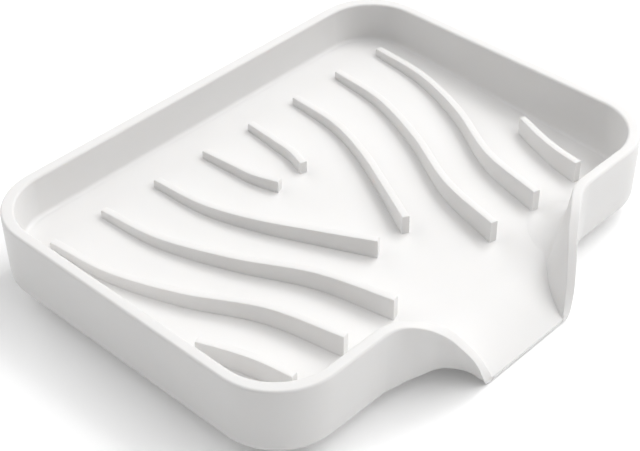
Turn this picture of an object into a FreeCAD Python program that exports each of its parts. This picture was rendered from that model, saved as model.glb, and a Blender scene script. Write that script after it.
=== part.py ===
import FreeCAD, Part
import os

# A self-draining tray moulded in white silicone: a drafted wall with rounded
# corners round a sloping ribbed floor, and a drooping pouring spout in front.
# Modelled with its origin at the middle of the walled body, at the height of
# the wall's lower edge; x runs along the long side and the spout points to -y.
# All lengths in millimetres.

BODY_LENGTH = 140.0        # along x, over the rim
BODY_DEPTH = 102.0         # along y, over the rim, without the spout
WALL_HEIGHT = 18.7
WALL_THICK = 3.0           # across the rim
OUTER_DRAFT = 0.3          # how much the wall steps in from rim to lower edge
INNER_DRAFT = 0.9          # how much thicker the wall is at its foot
OUTER_CORNER = 16.9        # corner radius outside, at the rim
INNER_CORNER = 14.8        # corner radius inside, at the rim
RIM_ROUND = 0.7
FOOT_ROUND = 2.0           # the wall's lower edge, outside

FLOOR_MID = 5.4            # floor height at the middle of the body
FLOOR_FALL = 0.053         # fall per millimetre towards the spout

SPOUT_HALF = 37.0          # half width of the gap the spout leaves in the wall
LIP_Y = -62.6              # how far forward the pouring lip stands
LIP_DROP = 2.8             # lip's top edge below the wall's lower edge

RIB_THICK = 2.0
RIB_TOP = 9.5              # all the ribs stop at one level

FOOT_RADIUS = 6.0
FOOT_HEIGHT = 4.0
FOOT_X = 54.0
FOOT_Y = 35.0

# Where the tray's own origin goes in the shared frame: the whole part is
# centred in x and y and the feet stand on z = 0.
PLACE = FreeCAD.Vector(0, -(BODY_DEPTH / 2 + LIP_Y) / 2, FOOT_HEIGHT)

# Middle lines of the ribs on the +x side, from the short one in the front
# corner to the innermost one; the other side mirrors them, a little longer.
RIB_LINES = [
    [(58.9, -14.4), (55.8, -22.4), (53.7, -29.5), (52.4, -37.2)],
    [(58.6, 36.2), (56.6, 18.0), (50.1, 0.0), (40.3, -18.0), (35.6, -36.8)],
    [(42.2, 36.7), (40.2, 19.0), (33.3, 0.5), (23.7, -18.0), (18.7, -36.8)],
    [(25.1, 36.4), (23.8, 20.5), (19.1, 6.5), (12.4, -7.0), (5.7, -19.8)],
    [(8.3, 36.5), (7.4, 26.0), (6.8, 20.0), (4.9, 14.0)],
]
LEFT_REACH = 1.0           # the ribs on the -x side run on further by this

# Sections through the spout's cheek, from the wall to the lip: the rim's
# outer edge (x, y, z), the crease where the cheek meets the chute (x, y) and
# how thick the cheek's foot is.
CHEEK_STATIONS = [
    (37.0, -51.0, 18.7, 37.0, -47.2, 3.5),
    (33.3, -51.6, 18.4, 32.4, -47.3, 4.3),
    (30.3, -53.2, 17.8, 28.0, -47.9, 4.6),
    (27.6, -54.9, 16.7, 24.8, -49.4, 4.2),
    (25.2, -56.4, 15.0, 21.8, -51.0, 3.5),
    (23.1, -57.9, 12.8, 18.9, -53.5, 2.8),
    (21.0, -59.6, 9.6, 16.7, -55.9, 2.4),
    (19.3, -60.9, 6.7, 15.2, -58.1, 2.2),
    (17.9, -61.9, 3.5, 14.2, -60.1, 2.3),
    (16.7, -62.4, 0.1, 13.5, -61.5, 2.3),
    (15.7, LIP_Y, -2.7, 13.1, LIP_Y, 2.2),
]
CHEEK_THICK = 2.4          # along most of the spout's rim

# The chute's underside in side view, from the body out to the lip (y, z).
CHUTE_UNDER = [(-52.5, 0.0), (-55.0, -0.1), (-58.0, -1.2), (-61.0, -2.9), (LIP_Y, -3.7)]


def rounded_rectangle(inset, radius, z):
    """Closed outline of the body, stepped in all round, at height z."""
    x = BODY_LENGTH / 2 - inset
    y = BODY_DEPTH / 2 - inset
    box = Part.makePlane(2 * x, 2 * y, FreeCAD.Vector(-x, -y, 0))
    block = box.extrude(FreeCAD.Vector(0, 0, 1))
    upright = [e for e in block.Edges if abs(e.tangentAt(e.FirstParameter).z) > 0.9]
    block = block.makeFillet(radius, upright)
    face = min(block.Faces, key=lambda f: f.CenterOfMass.z)
    wire = face.OuterWire.copy()
    wire.translate(FreeCAD.Vector(0, 0, z))
    return wire


def drafted_block(low, high):
    """Solid between two outlines, each given as (inset, radius, z)."""
    return Part.makeLoft([rounded_rectangle(*low), rounded_rectangle(*high)], True, True)


def floor_height(y):
    return FLOOR_MID + FLOOR_FALL * y


def chute_height(y):
    """Floor level, bending down from the body's front out to the lip."""
    bend_y = -46.0
    if y >= bend_y:
        return floor_height(y)
    run = bend_y - y
    reach = bend_y - LIP_Y
    straight = floor_height(bend_y) - FLOOR_FALL * run
    drop_left = floor_height(bend_y) - FLOOR_FALL * reach + LIP_DROP
    return straight - drop_left * (run / reach) ** 2


def under_height(y):
    """Underside of the chute, read off its side-view line."""
    if y >= CHUTE_UNDER[0][0]:
        return 0.0
    for (y0, z0), (y1, z1) in zip(CHUTE_UNDER, CHUTE_UNDER[1:]):
        if y >= y1:
            return z0 + (z1 - z0) * (y - y0) / (y1 - y0)
    return CHUTE_UNDER[-1][1]


def side_prism(points, half_width):
    """Outline drawn in side view (y, z), drawn out to both sides in x."""
    wire = Part.makePolygon([FreeCAD.Vector(-half_width, y, z) for y, z in points + points[:1]])
    return Part.Face(wire).extrude(FreeCAD.Vector(2 * half_width, 0, 0))


def make_cavity():
    """Inside of the wall, from the lower edge to above the rim."""
    foot = WALL_THICK + INNER_DRAFT
    step = INNER_DRAFT / WALL_HEIGHT
    over = 2.0
    low = (foot, INNER_CORNER - INNER_DRAFT, 0.0)
    high = (WALL_THICK - step * over, INNER_CORNER + step * over, WALL_HEIGHT + over)
    return drafted_block(low, high)


def make_wall(cavity):
    low = (OUTER_DRAFT, OUTER_CORNER - OUTER_DRAFT, 0.0)
    high = (0.0, OUTER_CORNER, WALL_HEIGHT)
    block = drafted_block(low, high)
    lower = [e for e in block.Edges if e.BoundBox.ZMax < 0.01]
    ring = block.makeFillet(FOOT_ROUND, lower).cut(cavity)
    rim = [e for e in ring.Edges if e.BoundBox.ZMin > WALL_HEIGHT - 0.01]
    ring = ring.makeFillet(RIM_ROUND, rim)
    gap = Part.makeBox(2 * SPOUT_HALF, 20, 40, FreeCAD.Vector(-SPOUT_HALF, -60, -5))
    return ring.cut(gap)


def make_floor(cavity):
    """Wedge inside the wall: flat underneath, falling to the spout on top."""
    back = BODY_DEPTH / 2
    points = [(-back, 0), (back, 0), (back, floor_height(back)), (-back, floor_height(-back))]
    return cavity.common(side_prism(points, BODY_LENGTH / 2))


def cheek_section(rim_x, rim_y, rim_z, crease_x, crease_y, foot):
    """Eight-sided section of a cheek, leaning out from the chute."""
    rim = FreeCAD.Vector(rim_x, rim_y, 0)
    crease = FreeCAD.Vector(crease_x, crease_y, 0)
    across = rim - crease
    width = across.Length
    outward = FreeCAD.Vector(across).normalize()
    thick = WALL_THICK if rim_x == SPOUT_HALF else min(CHEEK_THICK, width * 0.75)
    crease_z = chute_height(crease_y)
    foot = min(foot, width - 0.05)
    foot_z = under_height((crease + outward * foot).y)
    tall = rim_z - foot_z
    bevel = min(1.2, 0.3 * tall, 0.6 * foot)
    top = min(RIM_ROUND, 0.3 * tall)

    def spot(out, z):
        return crease + outward * out + FreeCAD.Vector(0, 0, z)

    corners = [
        spot(0, crease_z),
        spot(0, under_height(crease_y)),
        spot(foot - bevel, foot_z),
        spot(foot, foot_z + bevel),
        spot(width, rim_z - top),
        spot(width - top, rim_z),
        spot(width - thick + top, rim_z),
        spot(width - thick, rim_z - top),
    ]
    return Part.makePolygon(corners + corners[:1])


def make_cheek():
    sections = [cheek_section(*station) for station in CHEEK_STATIONS]
    return Part.makeLoft(sections, True, True)


def make_chute(floor, wall, cheeks):
    """Bent sheet between the two cheeks, thinning to the pouring lip."""
    steps = 12
    inner_y = -44.0
    top_y = [-46.0 + (LIP_Y + 46.0) * i / steps for i in range(steps + 1)]
    points = [(inner_y, 0.0)] + CHUTE_UNDER
    points = points + [(y, chute_height(y)) for y in reversed(top_y)]
    points = points + [(inner_y, chute_height(inner_y))]
    sheet = side_prism(points, SPOUT_HALF)
    margin = 0.4
    side = [(s[3] + margin, s[4]) for s in CHEEK_STATIONS]
    outline = [(SPOUT_HALF, inner_y)] + side[1:]
    outline = outline + [(-x, y) for x, y in reversed(outline)]
    wire = Part.makePolygon([FreeCAD.Vector(x, y, -10) for x, y in outline + outline[:1]])
    sheet = sheet.common(Part.Face(wire).extrude(FreeCAD.Vector(0, 0, 30)))
    for other in [floor, wall] + cheeks:
        sheet = sheet.cut(other)
    return max(sheet.Solids, key=lambda s: s.Volume)


def make_rib(line):
    """Upright strip of even thickness along a curve, standing on the floor."""
    curve = Part.BSplineCurve()
    curve.interpolate([FreeCAD.Vector(x, y, 0) for x, y in line])
    edges = []
    for side in (-RIB_THICK / 2, RIB_THICK / 2):
        points = []
        for i in range(13):
            t = curve.FirstParameter + (curve.LastParameter - curve.FirstParameter) * i / 12
            ahead = curve.tangent(t)[0]
            points.append(curve.value(t) + FreeCAD.Vector(-ahead.y, ahead.x, 0) * side)
        flank = Part.BSplineCurve()
        flank.interpolate(points)
        edges.append(flank.toShape())
    strip = Part.makeRuledSurface(edges[0], edges[1])
    solid = strip.extrude(FreeCAD.Vector(0, 0, RIB_TOP))
    far = BODY_DEPTH
    below = [(-far, -20), (far, -20), (far, floor_height(far)), (-far, floor_height(-far))]
    return solid.cut(side_prism(below, BODY_LENGTH)).Solids[0]


def left_line(line):
    """A rib's line mirrored to the -x side, its front end reaching further."""
    last = FreeCAD.Vector(line[-1][0], line[-1][1], 0)
    ahead = last - FreeCAD.Vector(line[-2][0], line[-2][1], 0)
    reached = last + ahead.normalize() * LEFT_REACH
    return [(-x, y) for x, y in line[:-1]] + [(-reached.x, reached.y)]


def make_foot(x, y):
    foot = Part.makeCylinder(FOOT_RADIUS, FOOT_HEIGHT, FreeCAD.Vector(x, y, -FOOT_HEIGHT))
    rim = [e for e in foot.Edges if e.BoundBox.ZMax < -FOOT_HEIGHT + 0.01]
    return foot.makeFillet(1.0, rim)


def mirrored(shape):
    return shape.mirror(FreeCAD.Vector(0, 0, 0), FreeCAD.Vector(1, 0, 0))


def make_parts():
    parts = {}
    cavity = make_cavity()
    parts["wall"] = make_wall(cavity)
    parts["floor"] = make_floor(cavity)
    cheek = make_cheek()
    parts["spout_cheek_right"] = cheek
    parts["spout_cheek_left"] = mirrored(cheek)
    cheeks = [parts["spout_cheek_right"], parts["spout_cheek_left"]]
    parts["spout_chute"] = make_chute(parts["floor"], parts["wall"], cheeks)
    for number, line in enumerate(RIB_LINES, start=1):
        parts["rib_right_%d" % number] = make_rib(line)
        parts["rib_left_%d" % number] = make_rib(left_line(line))
    for side, x in (("left", -FOOT_X), ("right", FOOT_X)):
        for end, y in (("front", -FOOT_Y), ("back", FOOT_Y)):
            parts["foot_%s_%s" % (end, side)] = make_foot(x, y)
    return parts


os.makedirs("parts", exist_ok=True)
for node, shape in make_parts().items():
    placed = shape.copy()
    placed.translate(PLACE)
    placed.exportStep("parts/%s.step" % node)
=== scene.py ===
from math import asin, cos, pi, radians, sin

import bmesh
import bpy
from mathutils import Matrix, Vector


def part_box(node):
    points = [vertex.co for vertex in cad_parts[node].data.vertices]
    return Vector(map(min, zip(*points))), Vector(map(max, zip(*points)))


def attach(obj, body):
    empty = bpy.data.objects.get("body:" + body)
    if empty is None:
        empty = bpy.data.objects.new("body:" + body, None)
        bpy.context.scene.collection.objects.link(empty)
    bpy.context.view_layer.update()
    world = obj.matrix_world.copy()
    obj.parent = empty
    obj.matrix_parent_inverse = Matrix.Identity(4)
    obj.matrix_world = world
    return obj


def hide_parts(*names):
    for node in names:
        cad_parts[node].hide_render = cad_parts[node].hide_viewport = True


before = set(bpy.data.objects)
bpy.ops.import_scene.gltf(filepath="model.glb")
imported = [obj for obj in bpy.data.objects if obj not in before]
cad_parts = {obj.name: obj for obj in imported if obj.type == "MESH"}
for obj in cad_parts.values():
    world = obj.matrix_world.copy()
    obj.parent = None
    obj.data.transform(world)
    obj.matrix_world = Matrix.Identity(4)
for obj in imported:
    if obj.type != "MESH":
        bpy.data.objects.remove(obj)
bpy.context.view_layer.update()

MM = 0.001

# ---- sizes, read from the frame where the frame has them ------------------
WALL_LOW, WALL_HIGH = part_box("wall")

HALF_X = (WALL_HIGH[0] - WALL_LOW[0]) / 2          # half the body's length
HALF_Y = (WALL_HIGH[1] - WALL_LOW[1]) / 2          # half its depth, spout left out
MID_Y = (WALL_HIGH[1] + WALL_LOW[1]) / 2           # where the body's middle lies
BASE_Z = WALL_LOW[2]                               # the wall's lower edge
WALL_TALL = WALL_HIGH[2] - BASE_Z
RIB_TOP_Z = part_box("rib_right_2")[1][2]
LIP_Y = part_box("spout_chute")[0][1] - MID_Y        # the lip, from the body's middle

WALL_THICK = 3.0 * MM
OUTER_DRAFT = 0.3 * MM                             # the wall steps in to its lower edge
INNER_DRAFT = 0.9 * MM                             # and is thicker at its foot
OUTER_CORNER = 16.9 * MM
CORNER_SWELL = 0.9 * MM                            # inner corners are rounder than the outer
RIM_ROUND = 0.7 * MM
FOOT_ROUND = 2.0 * MM                              # the wall's lower edge
FLOOR_MID = 5.4 * MM                               # floor over the wall's lower edge
FLOOR_FALL = 0.053
COVE = 1.0 * MM                                    # round between the wall and the floor
SPOUT_COVE = 12.0 * MM                             # and beside the spout, where it widens
CHEEK_TILT = 0.9 * MM                              # the cheek's rim slopes outward by this much
CHEEK_ROUND = 0.4 * MM                             # and its edges are crisper
SPOUT_HALF = 37.0 * MM
BEND_Y = -46.0 * MM
LIP_DROP = 2.8 * MM
CHEEK_THICK = 2.4 * MM
RIB_THICK = 2.0 * MM
RIB_EDGE = 0.3 * MM
TUCK = 0.3 * MM                                    # how far one piece runs into the next
CLEAR = 0.02 * MM                                  # keeps two faces from lying in one plane
RIB_SUNK = 0.15 * MM                               # how far a rib runs into the floor
FOOT_EDGE = 1.0 * MM                               # round at the bottom of a foot

# How the wall's section changes on its way along the cheek, as shares of it.
CHEEK_THINNED = 0.25                               # thickness and edge are the cheek's from here
COVE_ENDS = 0.42                                   # the cove has shrunk to a crease
TILT_STARTS = 0.1
TILT_RUN = 0.4
CREASE_COVE = 0.12 * MM
# The largest share of the room that each round may take where the cheek is low.
EDGE_SHARE = 0.45
FOOT_SHARE = 0.6
COVE_SHARE = 0.8
THICK_SHARE = 0.85
LEAST_ROOM = 0.2 * MM
LEAST_RIM = 0.1 * MM                               # rim over the crease, rounds left out
FOOT_INSET = 0.05 * MM                             # foot stays inside the rim's outer edge

# Middle lines of the ribs on the +x side, in millimetres from the body's
# middle, from the short one in the front corner to the innermost one.
RIB_LINES = [
    [(58.9, -14.4), (55.8, -22.4), (53.7, -29.5), (52.4, -37.2)],
    [(58.6, 36.2), (56.6, 18.0), (50.1, 0.0), (40.3, -18.0), (35.6, -36.8)],
    [(42.2, 36.7), (40.2, 19.0), (33.3, 0.5), (23.7, -18.0), (18.7, -36.8)],
    [(25.1, 36.4), (23.8, 20.5), (19.1, 6.5), (12.4, -7.0), (5.7, -19.8)],
    [(8.3, 36.5), (7.4, 26.0), (6.8, 20.0), (4.9, 14.0)],
]
LEFT_REACH = 1.0                                   # mm the ribs on the -x side run on further

# The spout's cheek from the wall to the lip, in millimetres: the rim's outer
# edge (x, y, z over the wall's lower edge), the crease on the chute (x, y) and
# how thick the cheek's foot is. The first line lies on the wall, as a lead-in.
CHEEK_STATIONS = [
    (41.0, -51.0, 18.7, 42.0, -47.2, 3.5),
    (37.0, -51.0, 18.7, 37.0, -47.2, 3.5),
    (33.3, -51.6, 18.4, 32.4, -47.3, 4.3),
    (30.3, -53.2, 17.8, 28.0, -47.9, 4.6),
    (27.6, -54.9, 16.7, 24.8, -49.4, 4.2),
    (25.2, -56.4, 15.0, 21.8, -51.0, 3.5),
    (23.1, -57.9, 12.8, 18.9, -53.5, 2.8),
    (21.0, -59.6, 9.6, 16.7, -55.9, 2.4),
    (19.3, -60.9, 6.7, 15.2, -58.1, 2.2),
    (17.9, -61.9, 3.5, 14.2, -60.1, 2.3),
    (16.7, -62.4, 0.1, 13.5, -61.5, 2.3),
    (15.7, -62.6, -2.7, 13.1, -62.6, 2.2),
]
# The chute's underside in side view (y, z), in millimetres.
CHUTE_UNDER = [(-52.5, 0.0), (-55.0, -0.1), (-58.0, -1.2), (-61.0, -2.9), (-62.6, -3.7)]


def floor_height(y):
    """Top of the floor over the wall's lower edge, y from the body's middle."""
    return FLOOR_MID + FLOOR_FALL * y


def chute_height(y):
    """The same, bending down from the front of the body out to the lip."""
    if y >= BEND_Y:
        return floor_height(y)
    run = BEND_Y - y
    reach = BEND_Y - LIP_Y
    straight = floor_height(BEND_Y) - FLOOR_FALL * run
    drop_left = floor_height(BEND_Y) - FLOOR_FALL * reach + LIP_DROP
    return straight - drop_left * (run / reach) ** 2


def between(a, b, t):
    return a + (b - a) * t


def ease(t):
    t = min(max(t, 0.0), 1.0)
    return t * t * (3 - 2 * t)


def under_height(y):
    if y >= CHUTE_UNDER[0][0] * MM:
        return 0.0
    for (y0, z0), (y1, z1) in zip(CHUTE_UNDER, CHUTE_UNDER[1:]):
        if y >= y1 * MM:
            return between(z0, z1, (y / MM - y0) / (y1 - y0)) * MM
    return CHUTE_UNDER[-1][1] * MM


def along(points, t, lead=0):
    """A point at t, 0 to 1, on a smooth line through the points after the lead."""
    spans = len(points) - 1 - lead
    i = min(int(t * spans), spans - 1)
    u = t * spans - i
    i += lead
    a, b = points[i], points[i + 1]
    before = points[i - 1] if i else tuple(2 * p - q for p, q in zip(a, b))
    after = points[i + 2] if i + 2 < len(points) else tuple(2 * q - p for p, q in zip(a, b))
    curve = []
    for p, q, r, s in zip(before, a, b, after):
        curve.append(
            q + u * (r - p) / 2
            + u * u * (2 * p - 5 * q + 4 * r - s) / 2
            + u ** 3 * (3 * q - p - 3 * r + s) / 2
        )
    return curve


# ---- small helpers for edit mode ------------------------------------------
def deselect_all():
    if bpy.context.object and bpy.context.object.mode == "EDIT":
        bpy.ops.object.mode_set(mode="OBJECT")
    bpy.ops.object.select_all(action="DESELECT")


def start_piece(name):
    """Names the primitive just added and opens it in edit mode."""
    piece = bpy.context.object
    piece.name = name
    piece.data.name = name
    bpy.ops.object.mode_set(mode="EDIT")
    return piece


def end_piece(piece, angle=30):
    bpy.ops.mesh.select_all(action="SELECT")
    bpy.ops.mesh.remove_doubles(threshold=1e-6)
    bpy.ops.mesh.normals_make_consistent(inside=False)
    bpy.ops.object.mode_set(mode="OBJECT")
    bpy.ops.object.shade_smooth_by_angle(angle=radians(angle))
    return piece


def pick(kind, test):
    """Selects only the verts, edges or faces of the open mesh that pass a test."""
    bpy.ops.mesh.select_all(action="DESELECT")
    bpy.ops.mesh.select_mode(type=kind)
    mesh = bmesh.from_edit_mesh(bpy.context.object.data)
    mesh.normal_update()
    found = {"VERT": mesh.verts, "EDGE": mesh.edges, "FACE": mesh.faces}[kind]
    for item in found:
        if test(item):
            item.select_set(True)
    mesh.select_flush_mode()
    bmesh.update_edit_mesh(bpy.context.object.data)


def move_picked(place):
    """Gives each selected vert the place that a function works out for it."""
    mesh = bmesh.from_edit_mesh(bpy.context.object.data)
    for vert in mesh.verts:
        if vert.select:
            vert.co = place(vert.co.copy())
    bmesh.update_edit_mesh(bpy.context.object.data)


# ---- the wall and the spout's cheeks ---------------------------------------
COVE_STEPS = 7
FACE_STEPS = 5
ROUND_STEPS = 7
FOOT_STEPS = 6


def section(width, thick, foot, foot_round, edge, cove, crease_z, low, low_inside, rim_z, tilt=0.0):
    """Wall's section as (distance out from the crease, height).

    It runs from the cove's toe up the inside, over the rim, down the outside
    and back under to the crease. The tilt raises the rim's inner edge by a
    third of itself and lowers the outer edge by the rest.
    """
    lean = (width - thick) / (rim_z - crease_z)
    slope = Vector((lean, 1)).normalized()
    toe = cove * (1 - slope.x) / slope.y
    points = [(-toe - TUCK, crease_z - TUCK), (-toe - TUCK, crease_z - CLEAR)]
    for i in range(COVE_STEPS + 1):
        a = between(-pi / 2, -asin(slope.x), i / COVE_STEPS)
        points.append((-toe + cove * cos(a), crease_z + cove + cove * sin(a)))
    inner = (width - thick, rim_z - edge)
    start = points[-1]
    for i in range(1, FACE_STEPS):
        points.append(tuple(between(p, q, i / FACE_STEPS) for p, q in zip(start, inner)))
    for i in range(ROUND_STEPS + 1):
        a = pi - (pi / 2) * i / ROUND_STEPS
        points.append((width - thick + edge + edge * cos(a), rim_z + tilt / 3 - edge + edge * sin(a)))
    for i in range(ROUND_STEPS + 1):
        a = pi / 2 - (pi / 2) * i / ROUND_STEPS
        points.append((width - edge + edge * cos(a), rim_z - tilt * 2 / 3 - edge + edge * sin(a)))
    top, bottom = (width, rim_z - tilt * 2 / 3 - edge), (foot, low + foot_round)
    for i in range(1, FACE_STEPS):
        points.append(tuple(between(p, q, i / FACE_STEPS) for p, q in zip(top, bottom)))
    for i in range(FOOT_STEPS + 1):
        a = -(pi / 2) * i / FOOT_STEPS
        points.append((foot - foot_round + foot_round * cos(a), low + foot_round + foot_round * sin(a)))
    points.append((0.0, low_inside))
    return points


def stand(points, crease, outward):
    """Stands a section up at the crease, its toe resting on the floor there."""
    ring = []
    level = chute_height(crease.y)
    for i, (out, z) in enumerate(points):
        spot = crease + outward * out
        if i <= COVE_STEPS + 1:
            settled = 1 - max(i - 2, 0) / COVE_STEPS
            z += (chute_height(spot.y) - level) * settled
        ring.append(Vector((spot.x, spot.y + MID_Y, BASE_Z + z)))
    return ring


def wall_ring(rim, outward, swell, cove):
    """Section of the wall at a point on its outer rim; swell thickens a corner."""
    crease_z = floor_height(rim.y - outward.y * WALL_THICK)
    thick = WALL_THICK + swell
    width = thick + INNER_DRAFT * (1 - crease_z / WALL_TALL)
    points = section(width, thick, width - OUTER_DRAFT, FOOT_ROUND, RIM_ROUND, cove,
                     crease_z, 0.0, 0.0, WALL_TALL)
    return stand(points, rim - outward * width, outward)


def cheek_ring(t):
    """Section of the right cheek at t, from the wall (0) to the lip (1)."""
    station = [v * MM for v in along(CHEEK_STATIONS, t, lead=1)]
    rim, rim_z, crease, foot = Vector(station[0:2]), station[2], Vector(station[3:5]), station[5]
    across = rim - crease
    outward = across.normalized()
    width = across.length
    changed = ease(t / CHEEK_THINNED)
    thick = min(between(WALL_THICK, CHEEK_THICK, changed), width * THICK_SHARE)
    crease_z = chute_height(crease.y)
    low = under_height((crease + outward * foot).y)
    tall = rim_z - low
    foot = min(foot, width - FOOT_INSET)
    foot_round = min(FOOT_ROUND, EDGE_SHARE * tall, FOOT_SHARE * foot)
    edge = min(between(RIM_ROUND, CHEEK_ROUND, changed), EDGE_SHARE * tall)
    tilt = min(CHEEK_TILT * ease((t - TILT_STARTS) / TILT_RUN), EDGE_SHARE * tall)
    room = max(rim_z - edge - crease_z, LEAST_ROOM)
    cove = min(between(SPOUT_COVE, CREASE_COVE, ease(t / COVE_ENDS)), COVE_SHARE * room)
    points = section(width, thick, foot, foot_round, edge, cove, crease_z, low,
                     under_height(crease.y), max(rim_z, crease_z + edge + LEAST_RIM), tilt)
    return stand(points, crease, outward)


CORNER_STEPS = 18
BACK_STEPS = 6                                     # from the middle of the back to the corner
SIDE_STEPS = 8
FRONT_STEPS = 6                                    # from the corner to the spout
CHEEK_STEPS = 60


def wall_rings():
    """Sections from the middle of the back round the right side to the lip."""
    rings = []
    mid_x, mid_y = HALF_X - OUTER_CORNER, HALF_Y - OUTER_CORNER

    def add(x, y, angle, cove=COVE):
        swell = CORNER_SWELL * max(abs(cos(angle)) + abs(sin(angle)) - 1, 0.0)
        rings.append(wall_ring(Vector((x, y)), Vector((cos(angle), sin(angle))), swell, cove))

    def add_corner(centre_y, first, last):
        for i in range(CORNER_STEPS + 1):
            a = between(first, last, i / CORNER_STEPS)
            add(mid_x + OUTER_CORNER * cos(a), centre_y + OUTER_CORNER * sin(a), a)

    for i in range(BACK_STEPS):
        add(mid_x * i / BACK_STEPS, HALF_Y, pi / 2)
    add_corner(mid_y, pi / 2, 0.0)
    for i in range(1, SIDE_STEPS):
        add(HALF_X, between(mid_y, -mid_y, i / SIDE_STEPS), 0.0)
    add_corner(-mid_y, 0.0, -pi / 2)
    for i in range(1, FRONT_STEPS):
        t = i / FRONT_STEPS
        add(between(mid_x, SPOUT_HALF, t), -HALF_Y, -pi / 2, between(COVE, SPOUT_COVE, ease(t)))
    for i in range(CHEEK_STEPS + 1):
        rings.append(cheek_ring(i / CHEEK_STEPS))
    return rings


def make_wall():
    """The wall's section drawn out round one half, down to the lip, and mirrored."""
    rings = wall_rings()
    deselect_all()
    bpy.ops.mesh.primitive_circle_add(vertices=len(rings[0]), fill_type="NGON")
    piece = start_piece("tray_wall")
    mesh = bmesh.from_edit_mesh(piece.data)
    number = mesh.verts.layers.int.new("section_point")
    for i, vert in enumerate(mesh.verts):
        vert[number] = i
        vert.co = rings[0][i]
    bmesh.update_edit_mesh(piece.data)
    for ring in rings[1:]:
        bpy.ops.mesh.extrude_region_move(TRANSFORM_OT_translate={"value": (0, 0, 0)})
        mesh = bmesh.from_edit_mesh(piece.data)
        number = mesh.verts.layers.int["section_point"]
        for vert in mesh.verts:
            if vert.select:
                vert.co = ring[vert[number]]
        bmesh.update_edit_mesh(piece.data)
    pick("FACE", lambda f: all(abs(v.co.x) < 1e-6 for v in f.verts))
    bpy.ops.mesh.delete(type="FACE")
    bpy.ops.object.mode_set(mode="OBJECT")
    mirror = piece.modifiers.new("other_half", "MIRROR")
    mirror.merge_threshold = 1e-6
    bpy.ops.object.modifier_apply(modifier=mirror.name)
    bpy.ops.object.mode_set(mode="EDIT")
    return end_piece(piece, 35)


# ---- the floor and the chute ------------------------------------------------
FLOOR_STEPS = 12                                   # in each corner and along each side
FLOOR_ACROSS = 40
CHUTE_STARTS = 9                                   # first cheek section the chute follows


def floor_rows():
    """Half widths of the floor, from the back wall to the lip, as (y, half width)."""
    inset = WALL_THICK + INNER_DRAFT - TUCK
    corner = OUTER_CORNER - inset
    mid_x, mid_y = HALF_X - OUTER_CORNER, HALF_Y - OUTER_CORNER
    rows = []
    for i in range(FLOOR_STEPS + 1):
        a = (pi / 2) * (1 - i / FLOOR_STEPS)
        rows.append((mid_y + corner * sin(a), mid_x + corner * cos(a)))
    for i in range(1, FLOOR_STEPS):
        rows.append((between(mid_y, -mid_y, i / FLOOR_STEPS), mid_x + corner))
    for i in range(FLOOR_STEPS + 1):
        a = (pi / 2) * i / FLOOR_STEPS
        rows.append((-mid_y - corner * sin(a), mid_x + corner * cos(a)))
    for i in range(CHUTE_STARTS, CHEEK_STEPS + 1):
        station = along(CHEEK_STATIONS, i / CHEEK_STEPS, lead=1)
        crease_x, crease_y = station[3] * MM, station[4] * MM
        rows.append((max(crease_y, LIP_Y), crease_x + TUCK))
    return rows


def make_floor():
    """One sloping sheet from the back wall, bent down at the front into the chute."""
    rows = floor_rows()
    last = len(rows) - 1
    deselect_all()
    bpy.ops.mesh.primitive_grid_add(x_subdivisions=FLOOR_ACROSS, y_subdivisions=last, size=2.0)
    piece = start_piece("tray_floor")

    def place(co):
        y, half = rows[round((1 - co.y) / 2 * last)]
        return Vector((co.x * half, MID_Y + y, BASE_Z + chute_height(y)))

    def let_down(co):
        return Vector((co.x, co.y, BASE_Z + under_height(co.y - MID_Y) + CLEAR))

    bpy.ops.mesh.select_all(action="SELECT")
    move_picked(place)
    bpy.ops.mesh.extrude_region_move(TRANSFORM_OT_translate={"value": (0, 0, 0)})
    move_picked(let_down)
    return end_piece(piece, 40)


# ---- the ribs -------------------------------------------------------------
RIB_STEPS = 28


def left_line(line):
    """The line mirrored to the -x side, where each rib reaches a little further."""
    (x0, y0), (x1, y1) = line[-2:]
    ahead = Vector((x1 - x0, y1 - y0)).normalized() * LEFT_REACH
    return [(-x, y) for x, y in line[:-1]] + [(-x1 - ahead.x, y1 + ahead.y)]


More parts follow.
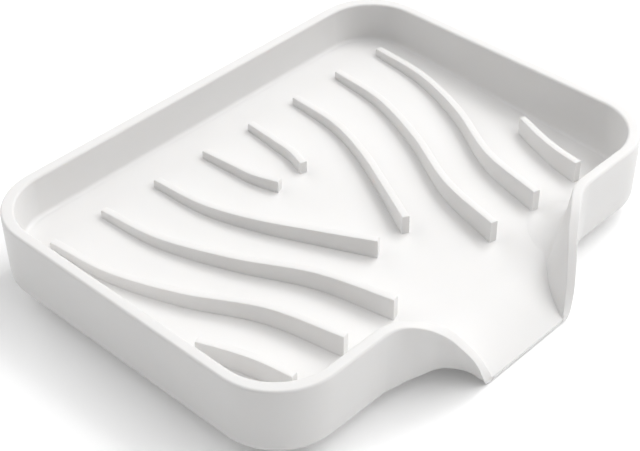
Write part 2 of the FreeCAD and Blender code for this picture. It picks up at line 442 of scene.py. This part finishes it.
def make_rib(name, line):
    """Ribbon drawn along the rib's line at its top, then let down to the floor."""
    def edge_at(t):
        x, y = along(line, t)
        ahead = Vector(along(line, min(t + 0.01, 1))) - Vector(along(line, max(t - 0.01, 0)))
        side = Vector((-ahead.y, ahead.x)).normalized() * RIB_THICK / 2
        return [Vector((x * MM + s * side.x, y * MM + MID_Y + s * side.y, RIB_TOP_Z)) for s in (1, -1)]

    deselect_all()
    bpy.ops.mesh.primitive_plane_add(size=RIB_THICK)
    piece = start_piece(name + "_skin")
    mesh = bmesh.from_edit_mesh(piece.data)
    side_of = mesh.verts.layers.int.new("rib_side")
    near, far = edge_at(0), edge_at(1 / RIB_STEPS)
    for vert in mesh.verts:
        side = 0 if vert.co.x > 0 else 1
        vert[side_of] = side
        vert.co = near[side] if vert.co.y > 0 else far[side]
    bmesh.update_edit_mesh(piece.data)
    far_mid = (far[0] + far[1]) / 2
    pick("EDGE", lambda e: ((e.verts[0].co + e.verts[1].co) / 2 - far_mid).length < 1e-5)
    for step in range(2, RIB_STEPS + 1):
        bpy.ops.mesh.extrude_edges_move(TRANSFORM_OT_translate={"value": (0, 0, 0)})
        ends = edge_at(step / RIB_STEPS)
        mesh = bmesh.from_edit_mesh(piece.data)
        side_of = mesh.verts.layers.int["rib_side"]
        for vert in mesh.verts:
            if vert.select:
                vert.co = ends[vert[side_of]]
        bmesh.update_edit_mesh(piece.data)
    bpy.ops.mesh.select_all(action="SELECT")
    bpy.ops.mesh.extrude_region_move(TRANSFORM_OT_translate={"value": (0, 0, 0)})
    move_picked(lambda co: Vector((co.x, co.y, BASE_Z + floor_height(co.y - MID_Y) - RIB_SUNK)))
    bpy.ops.mesh.select_all(action="SELECT")
    bpy.ops.mesh.normals_make_consistent(inside=False)
    top = RIB_TOP_Z - 1e-5
    pick("EDGE", lambda e: all(v.co.z > top for v in e.verts) and any(
        abs(f.normal.z) < 0.5 for f in e.link_faces))
    bpy.ops.mesh.bevel(offset=RIB_EDGE, segments=3, profile=0.5)
    return end_piece(piece)


# ---- the feet -------------------------------------------------------------
def make_foot(node):
    """Low round pad, its edge rolled, let a little way into the base."""
    low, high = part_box(node)
    radius = (high[0] - low[0]) / 2
    middle = ((low[0] + high[0]) / 2, (low[1] + high[1]) / 2, (low[2] + high[2]) / 2)
    deselect_all()
    bpy.ops.mesh.primitive_cylinder_add(vertices=48, radius=radius, depth=high[2] - low[2])
    piece = start_piece(node + "_pad")
    bpy.ops.transform.translate(value=middle)
    pick("FACE", lambda f: f.normal.z < -0.9)
    bpy.ops.mesh.bevel(offset=FOOT_EDGE, segments=5, profile=0.5, affect="EDGES")
    return end_piece(piece)


# ---- the silicone ---------------------------------------------------------
def colour(hex_code):
    """sRGB hex to the linear colour that the shaders take."""
    channels = [int(hex_code[i:i + 2], 16) / 255 for i in (1, 3, 5)]
    linear = [c / 12.92 if c <= 0.04045 else ((c + 0.055) / 1.055) ** 2.4 for c in channels]
    return (*linear, 1.0)


def add_node(tree, kind, links=(), **settings):
    """Adds a node, sets its values and joins (input, node, output) links to it."""
    node = tree.nodes.new(kind)
    for key, value in settings.items():
        if key in node.inputs.keys():
            node.inputs[key].default_value = value
        else:
            setattr(node, key, value)
    for socket, other, output in links:
        tree.links.new(other.outputs[output], node.inputs[socket])
    return node


def add_noise(tree, place, size, detail=1.0):
    """Soft noise in the piece's own space, its patches about size across."""
    return add_node(tree, "ShaderNodeTexNoise", [("Vector", place, "Object")], Scale=1 / size, Detail=detail)


def make_silicone(name, white, milk):
    """Compression-moulded silicone rubber: milky and satin, never glossy."""
    finish = bpy.data.materials.new(name)
    finish.use_nodes = True
    tree = finish.node_tree
    shader = tree.nodes["Principled BSDF"]
    place = add_node(tree, "ShaderNodeTexCoord")
    # Filler clouds the white in patches about 14 mm across, hardly there.
    cloud = add_noise(tree, place, 14 * MM, detail=2.0)
    tint = add_node(tree, "ShaderNodeMixRGB", [("Fac", cloud, "Fac")],
                    Color1=colour(white), Color2=colour(milk))
    tree.links.new(tint.outputs["Color"], shader.inputs["Base Color"])
    # The blasted mould leaves a grain of 0.35 mm that keeps highlights soft.
    grain = add_noise(tree, place, 0.35 * MM)
    fine = add_node(tree, "ShaderNodeBump", [("Height", grain, "Fac")], Strength=0.12, Distance=0.03 * MM)
    # Shrinkage as it cures: slow waves about 9 mm long in the flat faces.
    waves = add_noise(tree, place, 9 * MM)
    slow = add_node(tree, "ShaderNodeBump", [("Height", waves, "Fac"), ("Normal", fine, "Normal")],
                    Strength=0.12, Distance=0.12 * MM)
    tree.links.new(slow.outputs["Normal"], shader.inputs["Normal"])
    # Handling polishes it unevenly, in patches about 25 mm across.
    wear = add_noise(tree, place, 25 * MM, detail=2.0)
    satin = add_node(tree, "ShaderNodeMapRange", [("Value", wear, "Fac")])
    satin.inputs["To Min"].default_value = 0.44
    satin.inputs["To Max"].default_value = 0.56
    tree.links.new(satin.outputs["Result"], shader.inputs["Roughness"])
    # Light enters the rubber about a millimetre deep and softens its edges.
    shader.inputs["IOR"].default_value = 1.41
    shader.inputs["Subsurface Weight"].default_value = 0.2
    shader.inputs["Subsurface Radius"].default_value = (1.0, 0.9, 0.8)
    shader.inputs["Subsurface Scale"].default_value = 1.2 * MM
    return finish


# ---- camera, floor and light ----------------------------------------------
CAMERA_AZIMUTH = -46.33                            # degrees round from the spout's side
CAMERA_ELEVATION = 38.6
CAMERA_ROLL = -0.51
CAMERA_DISTANCE = 391.7 * MM
CAMERA_AIM = (-2.42 * MM, MID_Y + 1.36 * MM, BASE_Z)
SENSOR_WIDTH = 36.0
LENS_RATIO = 1559.3 / 640                          # focal length over the sensor's width


def add_camera():
    azimuth, elevation, roll = (radians(v) for v in (CAMERA_AZIMUTH, CAMERA_ELEVATION, CAMERA_ROLL))
    back = Vector((sin(azimuth) * cos(elevation), -cos(azimuth) * cos(elevation), sin(elevation)))
    right = Vector((cos(azimuth), sin(azimuth), 0))
    up = back.cross(right)
    turned_right = right * cos(roll) + up * sin(roll)
    turned_up = up * cos(roll) - right * sin(roll)
    lens = bpy.data.cameras.new("tray_camera")
    lens.sensor_width = SENSOR_WIDTH
    lens.lens = LENS_RATIO * SENSOR_WIDTH
    lens.clip_start = 0.01
    camera = bpy.data.objects.new("tray_camera", lens)
    turn = Matrix((turned_right, turned_up, back)).transposed().to_4x4()
    camera.matrix_world = Matrix.Translation(Vector(CAMERA_AIM) + back * CAMERA_DISTANCE) @ turn
    bpy.context.collection.objects.link(camera)
    bpy.context.scene.camera = camera


TABLE_GLOW = 0.09                                  # light the table gives off itself


def add_ground():
    """Pale table with a faint glow of its own, which thins the shadow on it."""
    deselect_all()
    bpy.ops.mesh.primitive_plane_add(size=6.0, location=(0, 0, 0))
    ground = bpy.context.object
    ground.name = "pale_floor"
    finish = bpy.data.materials.new("pale_paper")
    finish.use_nodes = True
    shader = finish.node_tree.nodes["Principled BSDF"]
    shader.inputs["Base Color"].default_value = colour("#F7F7F7")
    shader.inputs["Roughness"].default_value = 0.9
    shader.inputs["Emission Color"].default_value = colour("#FFFFFF")
    shader.inputs["Emission Strength"].default_value = TABLE_GLOW
    ground.data.materials.append(finish)


def add_softbox(name, place, size, power):
    """Square area light, turned to face the middle of the table."""
    light = bpy.data.lights.new(name, "AREA")
    light.shape = "SQUARE"
    light.size = size
    light.energy = power
    lamp = bpy.data.objects.new(name, light)
    lamp.location = place
    lamp.rotation_euler = (-place).to_track_quat("-Z", "Y").to_euler()
    bpy.context.collection.objects.link(lamp)


# Softboxes: name, azimuth round from the spout's side and height above the
# table in degrees, side of the square in metres, and power in watts.
SOFTBOXES = [
    ("front_low", 0, 30, 0.8, 0.7),
    ("front_high", 0, 60, 0.8, 2.6),
    ("front_right", 45, 45, 0.8, 6.0),
    ("right", 90, 30, 0.8, 3.4),
    ("right_high", 95, 55, 0.4, 3.8),
    ("overhead", 90, 75, 0.8, 2.6),
    ("back", 180, 30, 0.8, 3.7),
    ("back_left", -135, 45, 0.8, 3.9),
    ("left", -90, 30, 0.8, 0.5),
]
SOFTBOX_DISTANCE = 1.2
WORLD_STRENGTH = 0.03


def add_light():
    world = bpy.data.worlds.new("studio")
    world.use_nodes = True
    world.node_tree.nodes["Background"].inputs["Color"].default_value = (1, 1, 1, 1)
    world.node_tree.nodes["Background"].inputs["Strength"].default_value = WORLD_STRENGTH
    bpy.context.scene.world = world
    for name, azimuth, height, size, power in SOFTBOXES:
        a, e = radians(azimuth), radians(height)
        place = Vector((sin(a) * cos(e), -cos(a) * cos(e), sin(e))) * SOFTBOX_DISTANCE
        add_softbox(name, place, size, power)
    bpy.context.scene.view_settings.view_transform = "Standard"


# ---- making it ------------------------------------------------------------
def dress(piece, *nodes):
    piece.data.materials.clear()
    piece.data.materials.append(SILICONE)
    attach(piece, "root")
    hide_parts(*nodes)


SILICONE = make_silicone("white_moulded_silicone", "#E5E4E3", "#E2E1E0")
add_camera()
add_ground()
add_light()

dress(make_wall(), "wall", "spout_cheek_left", "spout_cheek_right")
dress(make_floor(), "floor", "spout_chute")
for number, line in enumerate(RIB_LINES, start=1):
    dress(make_rib("rib_right_%d" % number, line), "rib_right_%d" % number)
    dress(make_rib("rib_left_%d" % number, left_line(line)), "rib_left_%d" % number)
for node in ("foot_front_left", "foot_front_right", "foot_back_left", "foot_back_right"):
    dress(make_foot(node), node)
deselect_all()
